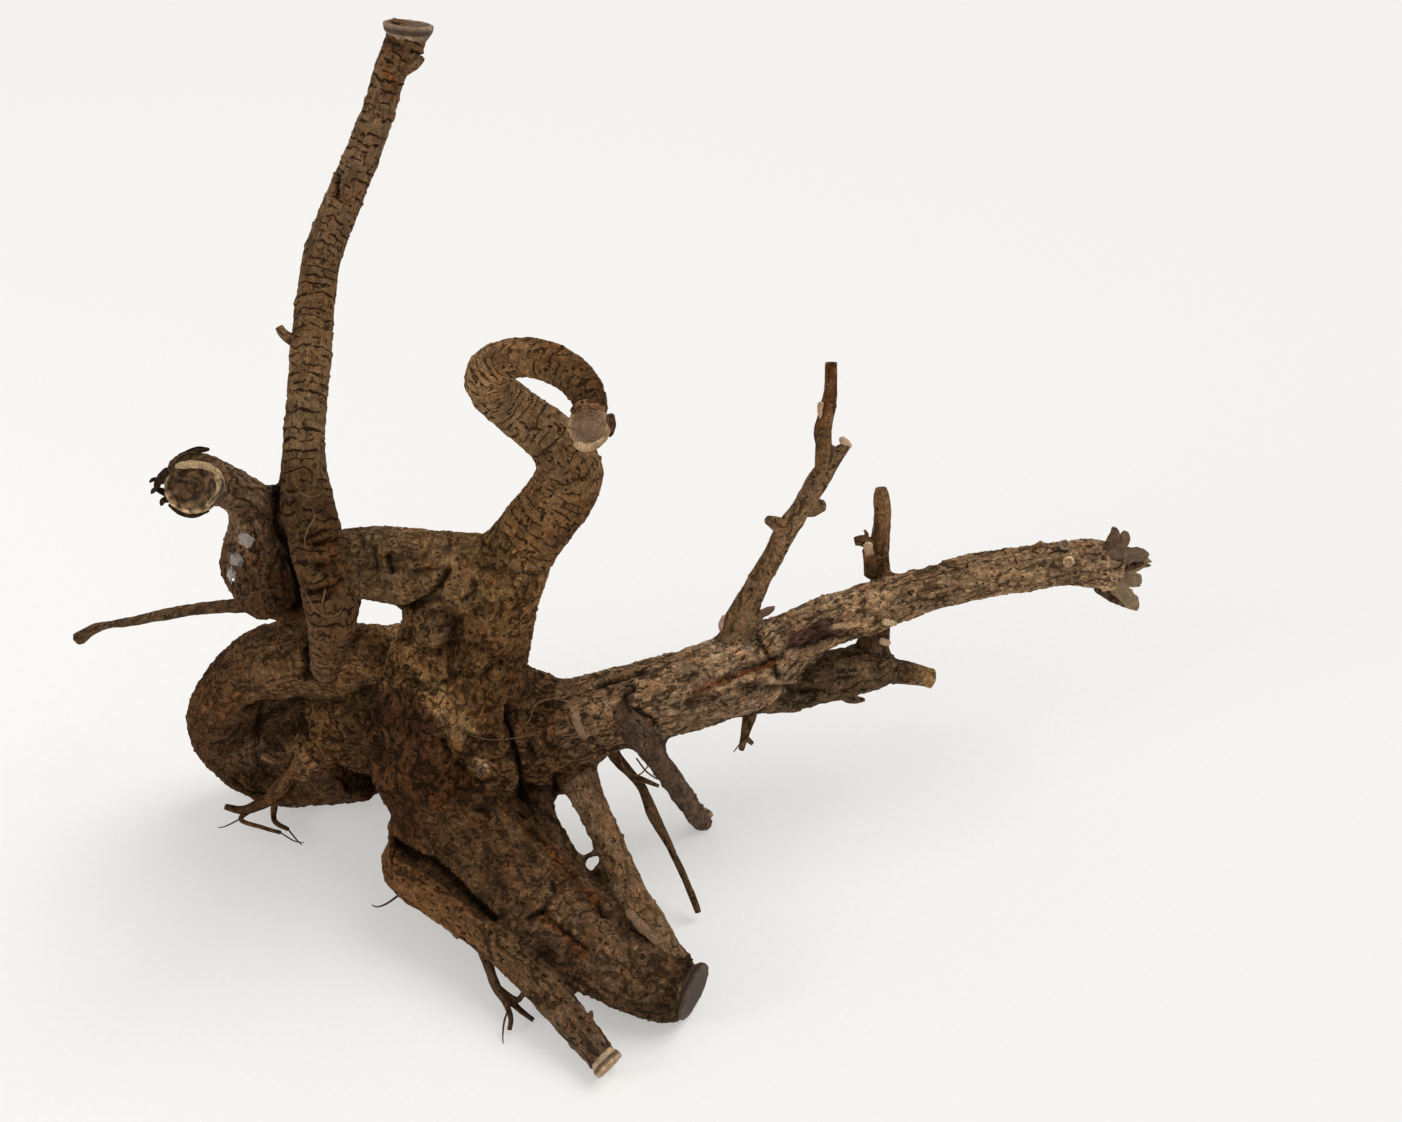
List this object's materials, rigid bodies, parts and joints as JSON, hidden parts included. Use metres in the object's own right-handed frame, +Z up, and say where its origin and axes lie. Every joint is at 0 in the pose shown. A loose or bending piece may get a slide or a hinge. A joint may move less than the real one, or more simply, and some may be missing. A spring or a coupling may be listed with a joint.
{
  "type": "driftwood",
  "caption": "Twisted dark root stump lying on its side, with a tall slim stem, coiled limbs, a long reaching arm, curled roots and fine rootlets.",
  "frame": {"origin": "middle of the footprint box, on the surface that the wood rests on", "axes": "+X from the thin left twig to the torn end of the long arm, +Y away from the viewer, from the front leg towards the tall stem's top, +Z up"},
  "size_m": [0.4073, 0.1797, 0.2795],
  "materials": {
    "bark": "weathered dark brown bark, rough, with a few damp glossy patches"
  },
  "bodies": {
    "root": {"driftwood": "bark"}
  },
  "joints": []
}
